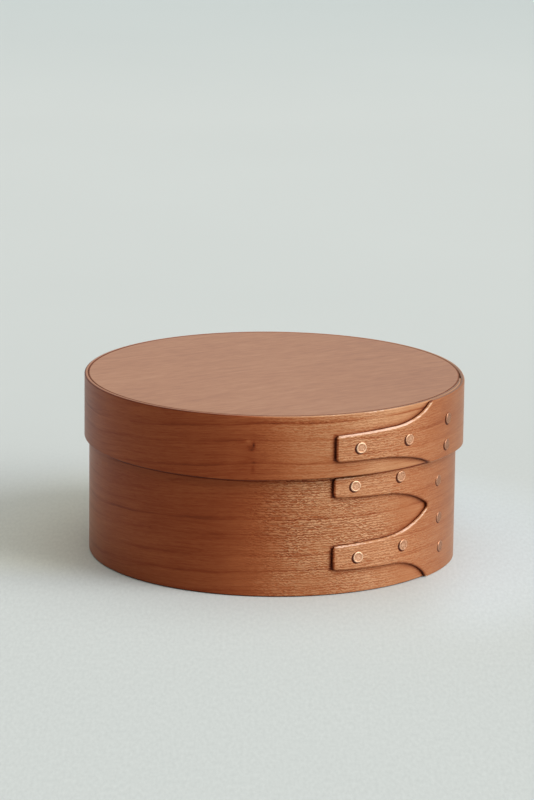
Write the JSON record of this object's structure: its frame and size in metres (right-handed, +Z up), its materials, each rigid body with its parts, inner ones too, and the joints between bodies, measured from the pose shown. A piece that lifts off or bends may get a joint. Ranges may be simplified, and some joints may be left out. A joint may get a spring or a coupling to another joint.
{
  "type": "bentwood pantry box",
  "caption": "Round bent-wood box with a lift-off lid, both bands lapped in pointed fingers and held by copper tacks.",
  "frame": {"origin": "centre of the bottom disc's underside, on the body band's axis", "axes": "+Z up through the lid, -Y towards the viewer, +X to the right, on whose side the laps are"},
  "size_m": [0.169, 0.1686, 0.0806],
  "materials": {
    "cherry_band": "oiled, satin",
    "cherry_disc": "oiled, satin",
    "copper": "dull copper"
  },
  "bodies": {
    "box": {"body_band": "cherry_band", "bottom_disc": "cherry_disc", "upper_finger_tacks": "copper", "lower_finger_tacks": "copper", "body_seam_tacks": "copper"},
    "lid": {"lid_band": "cherry_band", "lid_disc": "cherry_disc", "lid_finger_tacks": "copper", "lid_seam_tacks": "copper"}
  },
  "joints": [
    {"name": "lid_lift", "type": "slide", "parent": "box", "child": "lid", "axis": [0, 0, 1], "range_m": [0, 0.12]}
  ]
}
